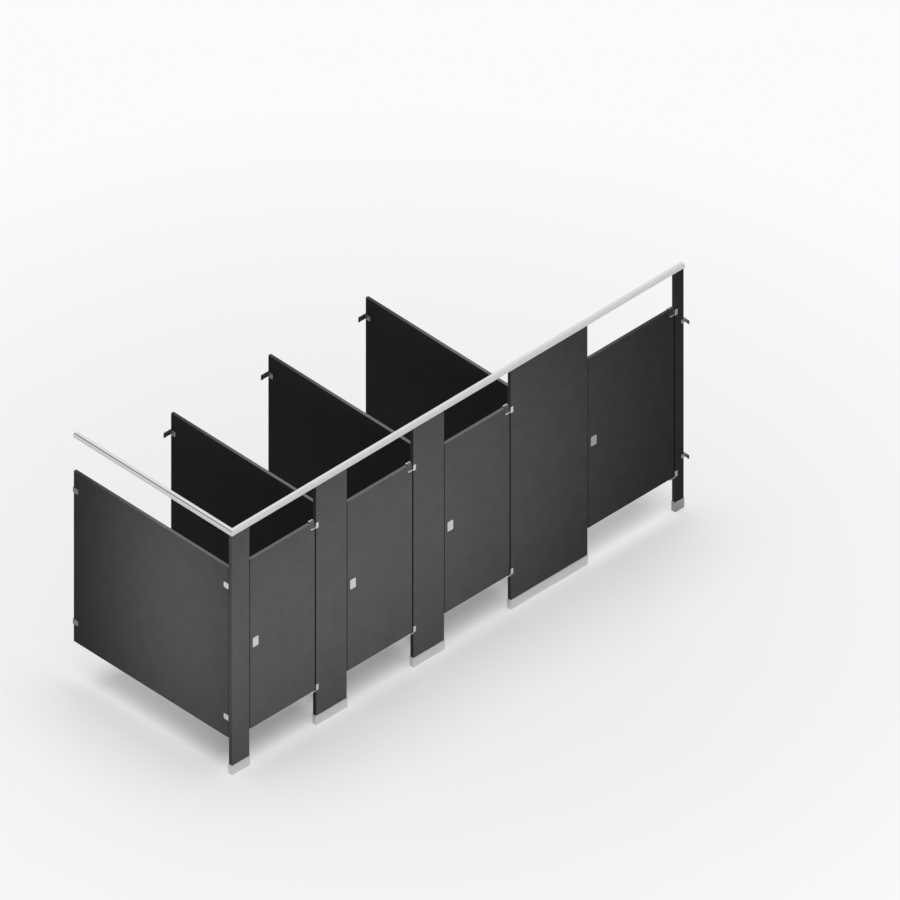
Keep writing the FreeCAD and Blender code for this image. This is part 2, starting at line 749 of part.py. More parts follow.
def build_nodes():
    """Every piece of the partition, by node name."""
    wall_clamps = pilaster_clamps()
    board_clamps = panel_clamps()
    feet = range(len(pilaster_widths))
    doors = range(len(door_widths))
    edges = pilaster_left[1:]
    nodes = {}
    for index in feet:
        nodes[f"pilaster_{index + 1}"] = [pilaster(index, wall_clamps)]
        nodes[f"shoe_{index + 1}"] = [shoe(index)]
    nodes["floor_bars"] = [floor_bar(index) for index in feet]
    nodes["levelling_studs"] = [levelling_stud(x) for index in feet for x in stud_places(index)]
    nodes["levelling_nuts"] = [levelling_nut(x) for index in feet for x in stud_places(index)]
    for index, name in enumerate(["end_panel", "divider_panel_1", "divider_panel_2", "divider_panel_3"]):
        nodes[name] = [panel(index, board_clamps)]
    nodes["headrail_front"] = [headrail(RIGHT, side_wall - rail_wall_gap - rail_outer)]
    nodes["headrail_return"] = [headrail(BACK, back_wall - rail_wall_gap - rail_outer)]
    nodes["headrail_corner_plate"] = [corner_plate()]
    nodes["headrail_wall_sockets"] = rail_sockets()
    nodes["panel_front_brackets"] = panel_front_brackets(board_clamps)
    nodes["panel_wall_brackets"] = panel_wall_brackets(board_clamps)
    nodes["pilaster_wall_brackets"] = pilaster_wall_brackets(wall_clamps)
    nodes["bracket_bolts"] = [barrel_bolt(clamp) for clamp in board_clamps + wall_clamps]
    nodes["hinge_brackets"] = [hinge_bracket(edge, base, lift) for edge in edges
                               for base, lift in zip(hinge_bases, flange_lifts)]
    nodes["hinge_pins"] = [hinge_pin(edge, base) for edge in edges for base in hinge_bases]
    nodes["keepers"] = [keeper(index) for index in doors]
    nodes["keeper_bumpers"] = [keeper_bumper(index) for index in doors]
    for index in doors:
        number = index + 1
        nodes[f"door_{number}"] = [door(index)]
        nodes[f"door_{number}_hinge_block"] = [hinge_block(index)]
        nodes[f"door_{number}_bushings"] = bushings(index)
        nodes[f"door_{number}_latch_plate"] = [latch_plate(index)]
        nodes[f"door_{number}_latch_case"] = [latch_case(index)]
        nodes[f"door_{number}_coat_hook"] = [coat_hook(index)]
        nodes[f"latch_bolt_{number}"] = [latch_bolt(index)]
    return nodes


def export_nodes(nodes):
    """Write each node with the origin on the floor, under the middle of the whole partition."""
    os.makedirs("parts", exist_ok=True)
    bounds = Part.makeCompound([solid for solids in nodes.values() for solid in solids]).BoundBox
    origin = Vector(bounds.Center.x, bounds.Center.y, bounds.ZMin)
    for name, solids in nodes.items():
        moved = [solid.translated(origin * -1) for solid in solids]
        shape = moved[0] if len(moved) == 1 else Part.makeCompound(moved)
        shape.exportStep(f"parts/{name}.step")
    print("origin", [round(value, 4) for value in origin])


export_nodes(build_nodes())
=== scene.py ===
import json
import math

import bmesh
import bpy
from bpy.props import FloatProperty, FloatVectorProperty, PointerProperty
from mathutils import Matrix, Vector


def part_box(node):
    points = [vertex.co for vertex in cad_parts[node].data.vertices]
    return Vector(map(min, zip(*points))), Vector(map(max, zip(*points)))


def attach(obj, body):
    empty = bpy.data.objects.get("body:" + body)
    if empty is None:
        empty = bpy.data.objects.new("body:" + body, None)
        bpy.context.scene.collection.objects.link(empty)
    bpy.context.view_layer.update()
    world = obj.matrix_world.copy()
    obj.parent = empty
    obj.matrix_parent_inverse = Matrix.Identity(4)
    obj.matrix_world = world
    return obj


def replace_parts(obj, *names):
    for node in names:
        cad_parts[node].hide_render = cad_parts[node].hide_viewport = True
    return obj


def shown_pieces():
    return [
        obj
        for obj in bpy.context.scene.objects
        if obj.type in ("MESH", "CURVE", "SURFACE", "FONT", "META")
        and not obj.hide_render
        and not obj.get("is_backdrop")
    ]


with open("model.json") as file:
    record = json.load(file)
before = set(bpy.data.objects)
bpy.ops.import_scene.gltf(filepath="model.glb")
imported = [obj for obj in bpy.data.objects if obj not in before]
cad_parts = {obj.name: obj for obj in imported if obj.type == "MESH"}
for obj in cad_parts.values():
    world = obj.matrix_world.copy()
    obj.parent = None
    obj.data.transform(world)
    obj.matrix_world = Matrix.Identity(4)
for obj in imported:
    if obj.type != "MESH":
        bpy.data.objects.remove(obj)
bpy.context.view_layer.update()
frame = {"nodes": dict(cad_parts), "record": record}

bl_info = {
    "name": "Toilet Partition",
    "version": (1, 0, 0),
    "blender": (4, 5, 0),
    "location": "View3D > Sidebar > Partition",
    "description": "Finishes, fasteners and stage for a row of toilet stalls",
    "category": "Object",
}

DOORS = ("door_1", "door_2", "door_3", "door_4")
PILASTERS = tuple(f"pilaster_{number}" for number in range(1, len(DOORS) + 2))
SHOES = tuple(f"shoe_{number}" for number in range(1, len(DOORS) + 2))
X, Y, Z = range(3)
RIGHT = Vector((1, 0, 0))
BACK = Vector((0, 1, 0))
UP = Vector((0, 0, 1))

# Points of one solid are nearer to each other than this, in metres, and those of two solids aren't
SOLIDS_APART = 0.3

# Edges between faces that meet at more than this stay sharp
CREASE = math.radians(32)

# Points round a turned piece, and the sides of its rings
SEGMENTS = 24
ROUND = 0
HEX = 6

# Rings of a round head: share of its radius, share of its rise, and sides. The rim and the dome come first,
# then the recess and the pin in its middle.
HEAD_RINGS = (
    (1.0, 0.0, ROUND), (1.0, 0.3, ROUND), (0.95, 0.55, ROUND), (0.84, 0.8, ROUND), (0.68, 0.95, ROUND),
    (0.55, 1.0, ROUND), (0.4752, 1.0, HEX), (0.44, 0.93, HEX), (0.44, 0.35, HEX), (0.15, 0.35, ROUND),
    (0.15, 0.8, ROUND), (0.11, 0.86, ROUND),
)

# Detail of a noise, from plain grain to broken clouds
GRAIN_DETAIL = 2.0
SOFT_DETAIL = 3.0
HAZE_DETAIL = 4.0
CLOUD_DETAIL = 5.0

# Spans of a value: all of it, most of a noise, and the parts of a noise that show as edge wear with a painted edge
# highlight, or as dirt
WHOLE = (0.0, 1.0)
NOISE = (0.3, 0.7)
WEAR = (0.35, 0.65)
DIRT = (0.35, 0.75)

# How nearly a face looks the asked way, where it begins to count and where it counts in full
EDGE_FACING = (0.80, 0.995)
TOP_FACING = (0.6, 0.95)
END_FACING = (0.5, 0.9)

# Roughness of the finishes where they are smoothest and roughest, and strength of their reflections
ROUGHNESS = {
    "headrail_front_aluminium": (0.26, 0.36), "headrail_return_aluminium": (0.26, 0.36),
    "mill_aluminium": (0.36, 0.5), "brushed_stainless": (0.30, 0.42), "stained_stainless": (0.40, 0.52),
    "satin_chrome": (0.16, 0.30), "coated_casting": (0.32, 0.46), "zinc_plate": (0.32, 0.50),
    "natural_nylon": (0.38, 0.52), "bumper_rubber": (0.68, 0.85),
}
SPECULAR = {"coated_casting": 0.05, "natural_nylon": 0.5, "bumper_rubber": 0.3, "pale_floor": 0.2}

EDGE_SAMPLES = 4
FLOOR_CELLS = 8


def colour_property(name, description, default):
    """Colour that a user can change."""
    return FloatVectorProperty(name=name, description=description, subtype="COLOR", size=3, min=0, max=1,
                               default=default)


def factor_property(name, description, default):
    """Share from nothing to all."""
    return FloatProperty(name=name, description=description, subtype="FACTOR", min=0, max=1, default=default)


def length_property(name, description, default):
    """Length in metres."""
    return FloatProperty(name=name, description=description, unit="LENGTH", precision=5, default=default)


def place_property(name, description, default):
    """Point in the partition's frame, in metres."""
    return FloatVectorProperty(name=name, description=description, subtype="TRANSLATION", unit="LENGTH", size=3,
                               default=default)


def span_property(name, description, default):
    """Two places along an axis, in metres."""
    return FloatVectorProperty(name=name, description=description, unit="LENGTH", size=2, default=default)


def angle_property(name, description, degrees):
    """Angle, shown in degrees."""
    return FloatProperty(name=name, description=description, subtype="ANGLE", default=math.radians(degrees))


class PARTITION_PG_boards(bpy.types.PropertyGroup):
    """Look of the laminate on pilasters, doors and panels."""

    dark: colour_property("Dark", "Charcoal where the mottle is darkest", (0.0475, 0.0475, 0.0475))
    light: colour_property("Light", "Charcoal where the mottle is lightest", (0.0535, 0.0535, 0.053))
    # Partly wear, partly painted highlight: lighter charcoal along every edge
    rubbed_and_lit: colour_property("Rubbed", "Charcoal along rubbed edges", (0.062, 0.062, 0.0615))
    # Partly dust, partly painted light: the tops are lighter, as if lit from above
    dust_and_top_light: colour_property("Dusty", "Charcoal on the tops, where dust lies", (0.165, 0.165, 0.162))
    # Painted shade: darker charcoal on the pilasters' edges in the gaps beside the doors
    gap_shadow: colour_property("Grimy", "Charcoal on pilasters' edges, in the gaps beside doors", (0.018, 0.018, 0.018))
    # Painted shade: the dust and top light fade toward the right end and the back, where the tops lie in shade
    dust_and_light_right: span_property("Dust to the right", "Where dust begins and ends to thin along the front", (0.9, 1.75))
    dust_and_light_back: span_property("Dust to the back", "Where dust begins and ends to thin toward the back", (-0.06, 0.74))
    dust_and_light_left: factor_property("Dust left", "Share of dust where it has thinned out", 0.05)
    edge_width: length_property("Edge width", "How far the rub reaches from an edge", 0.0025)
    mottle_size: length_property("Mottle size", "Size of the cloudy patches", 0.09)
    wear_size: length_property("Wear size", "Size of the patches in which edges are rubbed", 0.03)
    hand_size: length_property("Hand size", "Size of the patches that hands have smoothed", 0.36)
    grain_size: length_property("Grain size", "Size of the pressed grain", 0.0016)
    grain_depth: length_property("Grain depth", "Depth of the pressed grain", 0.00012)
    roughness: factor_property("Roughness", "Roughness of the matte face", 0.5)
    handled: factor_property("Handled", "Roughness where the face is smoother", 0.42)
    specular: factor_property("Specular", "Strength of the surface reflection", 0.015)


class PARTITION_PG_metals(bpy.types.PropertyGroup):
    """Look of the headrail, the shoes and the hardware."""

    rail: colour_property("Headrail", "Anodized aluminium of the headrail", (0.745, 0.745, 0.747))
    rail_line: colour_property("Headrail lines", "Aluminium in the drawing lines", (0.70, 0.70, 0.703))
    insert: colour_property("Rail inserts", "Mill aluminium inside the headrail", (0.66, 0.66, 0.67))
    shoe: colour_property("Shoes", "Satin stainless of the shoes", (0.86, 0.86, 0.855))
    shoe_line: colour_property("Brush lines", "Stainless in the brush lines", (0.76, 0.76, 0.755))
    # Painted shade: the shoe at the side wall is darker, as the wall shades it
    wall_shaded_shoe: colour_property("Wall shoe", "Stained stainless of the shoe at the side wall", (0.42, 0.42, 0.417))
    wall_shaded_shoe_line: colour_property("Wall shoe lines", "Brush lines of the shoe at the side wall", (0.37, 0.37, 0.367))
    haze_size: length_property("Haze size", "Size of the hazy patches on rails and shoes", 0.07)
    chrome: colour_property("Hardware", "Chrome of brackets, hinges and latches", (0.78, 0.78, 0.78))
    chrome_dull: colour_property("Dull chrome", "Chrome where it is handled", (0.69, 0.69, 0.685))
    peel_size: length_property("Peel size", "Size of the orange peel in the chrome", 0.0035)
    peel_depth: length_property("Peel depth", "Depth of the orange peel in the chrome", 0.00003)
    marks_size: length_property("Marks size", "Size of the handling marks", 0.018)
    # Painted shade: chrome toward the right end and the back, near the walls, is darker and rougher
    chrome_wall_shade: colour_property("Stained chrome", "Chrome near the walls, stained by damp", (0.26, 0.26, 0.258))
    wall_shade_right: span_property("Stain to the right", "Where stains begin along the front and stay", (1.245, 1.275))
    wall_shade_share: factor_property("Stain share", "Share of full stains to the right", 0.7)
    wall_shade_back: span_property("Stain to the back", "Where stains begin and are full toward the back", (0.5, 0.7))
    wall_shade_dulls: factor_property("Stain dulls", "Roughness that full stains add", 0.28)
    zinc: colour_property("Plated steel", "Zinc on floor bars, studs and pins", (0.56, 0.57, 0.58))
    zinc_dark: colour_property("Zinc spangle", "Darker crystals of the zinc", (0.40, 0.41, 0.42))
    spangle_size: length_property("Spangle size", "Size of the zinc's crystals", 0.006)
    zinc_cloud: length_property("Zinc cloud", "Size of the uneven patches in the zinc", 0.02)
    zinc_depth: length_property("Zinc depth", "Depth of the uneven patches in the zinc", 0.00008)
    # Painted shade: darker aluminium in the groove of the return run only
    groove_shade: colour_property("Groove dirt", "Aluminium in the dirty groove of the return run", (0.20, 0.20, 0.198))
    block_coat: colour_property("Block coat", "Charcoal coat on the doors' hinge blocks", (0.055, 0.055, 0.055))
    block_dark: colour_property("Dark coat", "Coat of a hinge block where it isn't worn", (0.0495, 0.0495, 0.0495))
    block_grain: length_property("Coat grain", "Size of the cast grain under the coat", 0.0025)
    block_depth: length_property("Coat depth", "Depth of the cast grain under the coat", 0.00006)
    block_wear: length_property("Coat wear", "Size of the worn patches of the coat", 0.02)
    bare_strip: length_property("Bare strip", "Width of the bare metal at the back of a hinge block's top", 0.010)
    bare_full: length_property("Full strip", "Width in which no coat is left there", 0.007)
    groove_start: length_property("Groove start", "From the return run's outer face to its groove", 0.005)
    groove_end: length_property("Groove end", "From the return run's outer face to the far side of its groove", 0.0098)
    edge: colour_property("Edges", "Rails and shoes along their edges, where they are polished", (0.90, 0.90, 0.895))
    edge_width: length_property("Edge width", "How far the polish reaches from an edge", 0.0035)
    line_width: length_property("Line width", "Width of brush and drawing lines", 0.0012)
    line_length: length_property("Line length", "Length of brush and drawing lines", 0.16)
    line_depth: length_property("Line depth", "Depth of brush and drawing lines", 0.00001)


class PARTITION_PG_small_parts(bpy.types.PropertyGroup):
    """Look of the bushings and bumpers."""

    nylon: colour_property("Nylon", "Natural nylon of the bushings", (0.84, 0.83, 0.79))
    nylon_dark: colour_property("Worn nylon", "Nylon where it has darkened", (0.70, 0.69, 0.64))
    nylon_grain: length_property("Nylon grain", "Size of the nylon's moulded grain", 0.0012)
    rubber: colour_property("Rubber", "Rubber of the bumpers", (0.022, 0.022, 0.022))
    rubber_dust: colour_property("Dusty rubber", "Rubber with dust on it", (0.060, 0.060, 0.058))
    rubber_grain: length_property("Rubber grain", "Size of the rubber's moulded grain", 0.0009)
    dirt_size: length_property("Dirt size", "Size of the dirty patches", 0.012)
    grain_share: factor_property("Grain share", "Depth of a moulded grain, as a share of its size", 0.125)


class PARTITION_PG_fasteners(bpy.types.PropertyGroup):
    """Sizes and places of the screws and bolts."""

    bolt_shank: length_property("Bolt shank", "Radius of the barrel bolts", 0.003)
    bolt_head: length_property("Bolt head", "Radius of a barrel bolt's head", 0.0075)
    bolt_rise: length_property("Bolt rise", "Height of a barrel bolt's head", 0.003)
    screw_head: length_property("Screw head", "Radius of a screw's head", 0.0046)
    screw_rise: length_property("Screw rise", "Height of a screw's head", 0.0024)
    screw_sink: length_property("Screw sink", "How far a head is pulled into its seat", 0.0002)
    hinge_inset: length_property("Hinge inset", "From the end of a hinge flange to its screws", 0.010)
    hinge_drop: length_property("Hinge drop", "From the top of a hinge flange to the middle of its screws", 0.025)
    hinge_spread: length_property("Hinge spread", "Half the distance between a hinge flange's screws", 0.014)
    flange_inset: length_property("Flange inset", "From the end of a bracket's flange to its screws", 0.022)
    flange_spread: length_property("Flange spread", "Half the distance between a bracket flange's screws", 0.012)
    flange_thickness: length_property("Flange thickness", "Thickness of a bracket's base", 0.004)
    keeper_inset: length_property("Keeper inset", "From the end of a keeper to its screws", 0.018)
    keeper_spread: length_property("Keeper spread", "Half the distance between a keeper's screws", 0.023)
    keeper_thickness: length_property("Keeper thickness", "Thickness of a keeper's plate", 0.003)
    post_inset: length_property("Post inset", "From the edge of a latch plate to its posts", 0.020)
    post_spread: length_property("Post spread", "Half the distance between a latch's posts", 0.027)
    hook_spread: length_property("Hook spread", "Half the distance between a coat hook's screws", 0.019)
    hook_middle: length_property("Hook middle", "From the foot of a coat hook to the middle of its plate", 0.026)
    hook_thickness: length_property("Hook thickness", "Thickness of a coat hook's plate", 0.003)
    shoe_drop: length_property("Shoe drop", "From the top of a shoe to its screws", 0.019)
    shoe_inset: length_property("Shoe inset", "From the end of a wide shoe to its screws", 0.060)
    rail_lift: length_property("Rail lift", "From the underside of the headrail to its screws", 0.011)
    rail_inset: length_property("Rail inset", "From a pilaster's edge to its headrail screw", 0.038)
    socket_inset: length_property("Socket inset", "From the end of the headrail to its socket screw", 0.030)
    corner_inset: length_property("Corner inset", "From the headrail's corner to the corner plate's screw", 0.092)


class PARTITION_PG_stage(bpy.types.PropertyGroup):
    """Floor, light and camera."""

    floor: colour_property("Floor", "Pale floor under the partition", (0.86, 0.86, 0.858))
    floor_cloud: factor_property("Floor cloud", "Share of the floor's colour in its darker clouds", 0.985)
    cloud_size: length_property("Cloud size", "Size of the floor's clouds", 1.4)
    floor_roughness: factor_property("Floor roughness", "Roughness of the floor", 0.6)
    floor_unseen: colour_property("Floor bounce", "Floor as it lights the partition", (0.12, 0.12, 0.12))
    # Painted shadow: the floor inside the stalls and a little past the row's ends is darker and takes less of the seen
    # white
    floor_shadow: colour_property("Floor inside", "Floor between the boards, where it is dim", (0.62, 0.62, 0.618))
    shadow_x: span_property("Inside ends", "From both ends to where it gets dim and is dimmest", (-0.10, 0.23))
    shadow_y: span_property("Inside front", "From front and back to where it gets dim and is dimmest", (0.04, 0.23))
    shadow_white: factor_property("Inside white", "Share of the seen white that stays on the dim floor", 0.3)
    floor_half: length_property("Floor half", "Half the side of the floor", 60.0)
    # Less plain white near the partition than far out: a painted shade round it
    floor_white: factor_property("Floor white", "Share of plain white seen in the floor at the partition", 0.35)
    edge_white: factor_property("Edge white", "Share of plain white seen in the floor far from it", 0.85)
    white_span: span_property("White span", "From the middle to where the floor gets whiter and is whitest", (1.8, 5.5))
    ambient: factor_property("Ambient", "Strength of the room's light on the partition", 0.015)
    overhead: FloatProperty(name="Overhead", description="Strength of the light from above", default=2.75)
    overhead_spread: angle_property("Overhead spread", "Width of the light from above", 55)
    front: FloatProperty(name="Front softbox", description="Power of the front softbox", unit="POWER", default=86)
    front_place: place_property("Front place", "Middle of the front softbox", (-1.71, -4.0, 1.25))
    front_width: length_property("Front width", "Width of the front softbox", 5.4)
    front_spread: angle_property("Front spread", "Width of the front softbox's beam", 79)
    side: FloatProperty(name="Side softbox", description="Power of the side softbox", unit="POWER", default=13.5)
    side_place: place_property("Side place", "Middle of the side softbox", (-5.0, -0.28, 1.25))
    side_width: length_property("Side width", "Width of the side softbox", 0.8)
    side_spread: angle_property("Side spread", "Width of the side softbox's beam", 50)
    back: FloatProperty(name="Back softbox", description="Power of the back softbox", unit="POWER", default=300)
    back_place: place_property("Back place", "Middle of the back softbox", (7.0, 6.0, 1.25))
    back_width: length_property("Back width", "Width of the back softbox", 4.0)
    back_spread: angle_property("Back spread", "Width of the back softbox's beam", 79)
    rear: FloatProperty(name="Rear softbox", description="Power of the rear softbox", unit="POWER", default=170)
    rear_place: place_property("Rear place", "Middle of the rear softbox", (0.0, 7.0, 1.25))
    rear_width: length_property("Rear width", "Width of the rear softbox", 4.4)
    rear_spread: angle_property("Rear spread", "Width of the rear softbox's beam", 60)
    softbox_height: length_property("Softbox height", "Height of the softboxes", 2.4)
    azimuth: angle_property("Azimuth", "Where the camera stands round the partition", -44.25)
    elevation: angle_property("Elevation", "How far the camera looks down", 37.57)
    target: place_property("Target", "Point at the middle of the picture", (0.7604, 0.0971, 0.7801))
    distance: length_property("Distance", "From the target to the camera", 12.0)
    camera_reach: length_property("Camera reach", "How far the camera sees", 200.0)
    picture_width: length_property("Picture width", "Width that the camera takes in", 6.218)


class Finish:
    """Material with its shader, and the nodes that vary it over a surface."""

    def __init__(self, name):
        self.material = bpy.data.materials.new(name)
        self.material.use_nodes = True
        self.nodes = self.material.node_tree.nodes
        self.links = self.material.node_tree.links
        self.shader = self.nodes["Principled BSDF"]

    def set(self, **values):
        """Constant values on the shader's own sockets."""
        for name, value in values.items():
            self.shader.inputs[name.replace("_", " ")].default_value = value

    def drive(self, socket, output):
        """Vary one of the shader's sockets."""
        self.links.new(output, self.shader.inputs[socket])

    def places(self, sizes):
        """Coordinates in which a pattern's cell has the given size along X, Y and Z."""
        where = self.nodes.new("ShaderNodeTexCoord")
        scaled = self.nodes.new("ShaderNodeMapping")
        scaled.inputs["Scale"].default_value = [1 / size for size in sizes]
        self.links.new(where.outputs["Object"], scaled.inputs["Vector"])
        return scaled.outputs["Vector"]

    def noise(self, size, detail):
        """Soft irregular pattern from 0 to 1, of one size in all directions."""
        return self.streaks([size] * 3, detail)

    def streaks(self, sizes, detail):
        """Soft irregular pattern from 0 to 1, with its own size along X, Y and Z."""
        pattern = self.nodes.new("ShaderNodeTexNoise")
        pattern.inputs["Scale"].default_value = 1.0
        pattern.inputs["Detail"].default_value = detail
        self.links.new(self.places(sizes), pattern.inputs["Vector"])
        return pattern.outputs[0]

    def cells(self, size):
        """Pattern of crystals, each with one value."""
        pattern = self.nodes.new("ShaderNodeTexVoronoi")
        pattern.inputs["Scale"].default_value = 1.0
        self.links.new(self.places([size] * 3), pattern.inputs["Vector"])
        shade = self.nodes.new("ShaderNodeSeparateColor")
        self.links.new(pattern.outputs["Color"], shade.inputs["Color"])
        return shade.outputs[0]

    def edges(self, width):
        """1 along the edges of a piece, 0 on its flat faces."""
        rounded = self.nodes.new("ShaderNodeBevel")
        rounded.samples = EDGE_SAMPLES
        rounded.inputs["Radius"].default_value = width
        surface = self.nodes.new("ShaderNodeNewGeometry")
        facing = self.nodes.new("ShaderNodeVectorMath")
        facing.operation = "DOT_PRODUCT"
        self.links.new(rounded.outputs["Normal"], facing.inputs[0])
        self.links.new(surface.outputs["True Normal"], facing.inputs[1])
        return self.spread(facing.outputs["Value"], 1.0, 0.0, EDGE_FACING)

    def tops(self):
        """1 on faces that look up, 0 on the rest."""
        surface = self.nodes.new("ShaderNodeNewGeometry")
        split = self.nodes.new("ShaderNodeSeparateXYZ")
        self.links.new(surface.outputs["True Normal"], split.inputs["Vector"])
        return self.spread(split.outputs["Z"], 0.0, 1.0, TOP_FACING)

    def ends(self):
        """1 on a piece's left and right ends, 0 on its front and back."""
        where = self.nodes.new("ShaderNodeTexCoord")
        split = self.nodes.new("ShaderNodeSeparateXYZ")
        self.links.new(where.outputs["Normal"], split.inputs["Vector"])
        return self.spread(self.product(split.outputs["X"], split.outputs["X"]), 0.0, 1.0, END_FACING)

    def along(self, axis):
        """Place along an axis, in metres."""
        split = self.nodes.new("ShaderNodeSeparateXYZ")
        self.links.new(self.places([1.0] * 3), split.inputs["Vector"])
        return split.outputs[axis]

    def maths(self, operation, first, second):
        """One value worked out from two."""
        reckoned = self.nodes.new("ShaderNodeMath")
        reckoned.operation = operation
        self.links.new(first, reckoned.inputs[0])
        self.links.new(second, reckoned.inputs[1])
        return reckoned.outputs["Value"]

    def product(self, first, second):
        """One value times another."""
        return self.maths("MULTIPLY", first, second)

    def band(self, axis, low, high, soft):
        """1 between two places along an axis, 0 outside them."""
        place = self.along(axis)
        rise = self.spread(place, 0.0, 1.0, (low - soft, low))
        return self.product(rise, self.spread(place, 1.0, 0.0, (high, high + soft)))

    def spread(self, value, at_low, at_high, span=NOISE):
        """Span of a value brought to another range."""
        ranged = self.nodes.new("ShaderNodeMapRange")
        ranged.inputs["From Min"].default_value, ranged.inputs["From Max"].default_value = span
        ranged.inputs["To Min"].default_value = at_low
        ranged.inputs["To Max"].default_value = at_high
        self.links.new(value, ranged.inputs["Value"])
        return ranged.outputs["Result"]

    def mixed(self, factor, first, second):
        """Colour between two others."""
        blended = self.nodes.new("ShaderNodeMix")
        blended.data_type = "RGBA"
        self.links.new(factor, blended.inputs["Factor"])
        for socket, colour in (("A", first), ("B", second)):
            target = [entry for entry in blended.inputs if entry.name == socket and entry.type == "RGBA"][0]
            if isinstance(colour, bpy.types.NodeSocket):
                self.links.new(colour, target)
            else:
                target.default_value = (*colour, 1.0)
        return [entry for entry in blended.outputs if entry.type == "RGBA"][0]

    def relief(self, height, depth):
        """Bump of a real depth."""
        bump = self.nodes.new("ShaderNodeBump")
        bump.inputs["Strength"].default_value = 1.0
        bump.inputs["Distance"].default_value = depth
        self.links.new(height, bump.inputs["Height"])
        return bump.outputs["Normal"]


def laminate(name, boards, gap=None):
    """Charcoal laminate: cloudy matte face with a pressed grain, edges lighter from wear and a painted highlight, and
    painted shade on the edges in the doors' gaps.
    """
    finish = Finish(name)
    cloud = finish.noise(boards.mottle_size, CLOUD_DETAIL)
    grain = finish.noise(boards.grain_size, GRAIN_DETAIL)
    face = finish.mixed(finish.spread(cloud, 0.0, 1.0), boards.dark, boards.light)
    # Edges lighter in patches, from wear and a painted highlight
    worn = finish.spread(finish.noise(boards.wear_size, SOFT_DETAIL), 0.0, 1.0, WEAR)
    rubbed_and_lit = finish.mixed(finish.product(finish.edges(boards.edge_width), worn), face, boards.rubbed_and_lit)
    # Painted shade: end faces turn darker charcoal along the height of the door gaps
    if gap is not None:
        beside_door = finish.band(Z, *gap, boards.edge_width)
        rubbed_and_lit = finish.mixed(finish.product(finish.ends(), beside_door), rubbed_and_lit, boards.gap_shadow)
    # Tops lighter from dust and painted top light, fading to the right and back as painted shade
    dust = finish.tops()
    for axis, span in ((X, boards.dust_and_light_right), (Y, boards.dust_and_light_back)):
        dust = finish.product(dust, finish.spread(finish.along(axis), 1.0, boards.dust_and_light_left, span))
    finish.drive("Base Color", finish.mixed(dust, rubbed_and_lit, boards.dust_and_top_light))
    hand = finish.noise(boards.hand_size, HAZE_DETAIL)
    finish.drive("Roughness", finish.spread(hand, boards.handled, boards.roughness))
    finish.drive("Normal", finish.relief(grain, boards.grain_depth))
    finish.set(Specular_IOR_Level=boards.specular)
    return finish.material


def lined_metal(name, metals, colours, along, groove=None):
    """Metal with fine lines along some axes, from drawing or brushing, polished edges, and painted shade in a groove.
    """
    finish = Finish(name)
    sizes = [metals.line_width] * 3
    for axis in along:
        sizes[axis] = metals.line_length
    lines = finish.streaks(sizes, SOFT_DETAIL)
    haze = finish.noise(metals.haze_size, HAZE_DETAIL)
    face = finish.mixed(finish.spread(lines, 0.0, 1.0), *colours)
    face = finish.mixed(finish.edges(metals.edge_width), face, metals.edge)
    # Painted shade in the groove
    if groove is not None:
        face = finish.mixed(finish.band(*groove, metals.line_width), face, metals.groove_shade)
    finish.drive("Base Color", face)
    finish.drive("Roughness", finish.spread(haze, *ROUGHNESS[name]))
    finish.drive("Normal", finish.relief(lines, metals.line_depth))
    finish.set(Metallic=1.0)
    return finish.material


def chrome_plate(metals):
    """Satin chrome with a faint orange peel and handling marks, with painted shade toward the right end and the back,
    near the walls.
    """
    finish = Finish("satin_chrome")
    peel = finish.noise(metals.peel_size, GRAIN_DETAIL)
    marks = finish.noise(metals.marks_size, CLOUD_DETAIL)
    # Painted shade toward the right end and toward the back
    to_right = finish.spread(finish.along(X), 0.0, metals.wall_shade_share, metals.wall_shade_right)
    to_back = finish.spread(finish.along(Y), 0.0, 1.0, metals.wall_shade_back)
    stain = finish.maths("MAXIMUM", to_right, to_back)
    face = finish.mixed(finish.spread(marks, 0.0, 1.0), metals.chrome, metals.chrome_dull)
    finish.drive("Base Color", finish.mixed(stain, face, metals.chrome_wall_shade))
    dulled = finish.spread(stain, 0.0, metals.wall_shade_dulls, WHOLE)
    finish.drive("Roughness", finish.maths("ADD", finish.spread(marks, *ROUGHNESS["satin_chrome"]), dulled))
    finish.drive("Normal", finish.relief(peel, metals.peel_depth))
    finish.set(Metallic=1.0)
    return finish.material


def coated_casting(metals, dust_and_top_light, back):
    """Cast block with a charcoal coat, lighter on top from dust and painted top light, and bare metal along the back of
    its top.
    """
    finish = Finish("coated_casting")
    top = finish.tops()
    strip = finish.spread(finish.along(Y), 0.0, 1.0, (back - metals.bare_strip, back - metals.bare_full))
    bare = finish.product(top, strip)
    skin = finish.noise(metals.block_grain, GRAIN_DETAIL)
    wear = finish.noise(metals.block_wear, HAZE_DETAIL)
    coat = finish.mixed(finish.spread(wear, 0.0, 1.0), metals.block_dark, metals.block_coat)
    finish.drive("Base Color", finish.mixed(bare, finish.mixed(top, coat, dust_and_top_light), metals.chrome))
    finish.drive("Metallic", bare)
    finish.drive("Roughness", finish.spread(wear, *ROUGHNESS["coated_casting"]))
    finish.drive("Normal", finish.relief(skin, metals.block_depth))
    finish.set(Specular_IOR_Level=SPECULAR["coated_casting"])
    return finish.material


def zinc_plate(metals):
    """Zinc with its crystals."""
    finish = Finish("zinc_plate")
    spangle = finish.cells(metals.spangle_size)
    cloud = finish.noise(metals.zinc_cloud, HAZE_DETAIL)
    finish.drive("Base Color", finish.mixed(spangle, metals.zinc, metals.zinc_dark))
    finish.drive("Roughness", finish.spread(cloud, *ROUGHNESS["zinc_plate"]))
    finish.drive("Normal", finish.relief(cloud, metals.zinc_depth))
    finish.set(Metallic=1.0)
    return finish.material


